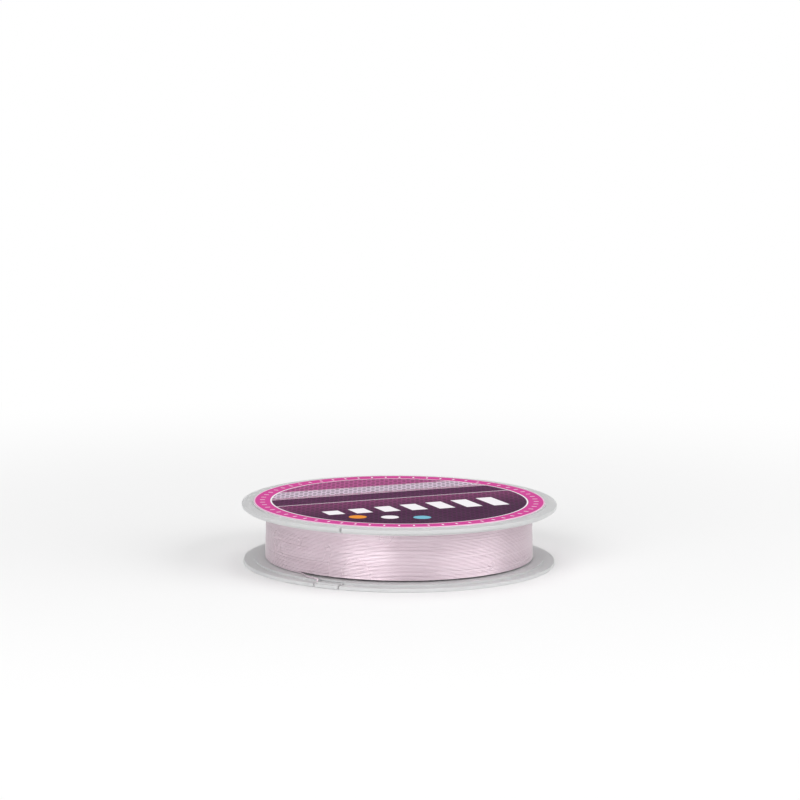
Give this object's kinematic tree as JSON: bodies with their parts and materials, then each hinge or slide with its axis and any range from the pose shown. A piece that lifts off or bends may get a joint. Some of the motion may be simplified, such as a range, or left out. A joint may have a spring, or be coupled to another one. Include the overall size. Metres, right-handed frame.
{
  "type": "fishing line spool",
  "caption": "Flat two-flange spool of fishing line, with a snapped-together drum, a flexing line clip, a wound line and a printed front label.",
  "frame": {"origin": "centre of the rear face, on the spool's axis", "axes": "+Z along the spool's axis, from the rear flange to the front label; the spool lies on its rear flange"},
  "size_m": [0.07, 0.07, 0.0138],
  "materials": {
    "frosted_plastic": "frosted, see-through",
    "line": "glossy clear monofilament with a pink tint",
    "front_print": "printed film, satin",
    "rear_print": "coated paper",
    "tape": "matt adhesive tape"
  },
  "bodies": {
    "spool": {"rear_half": "frosted_plastic", "front_half": "frosted_plastic", "fishing_line": "line", "start_tape": "tape", "front_label": "front_print", "rear_label": "rear_print"},
    "clip": {"line_clip": "frosted_plastic"}
  },
  "joints": [
    {"name": "clip_flex", "type": "hinge", "parent": "spool", "child": "clip", "pos_m": [-0.01403, -0.02753, 0.00045], "axis": [0.891, -0.454, 0], "range_deg": [-6, 12], "stiffness_Nm_per_rad": 0.005}
  ]
}
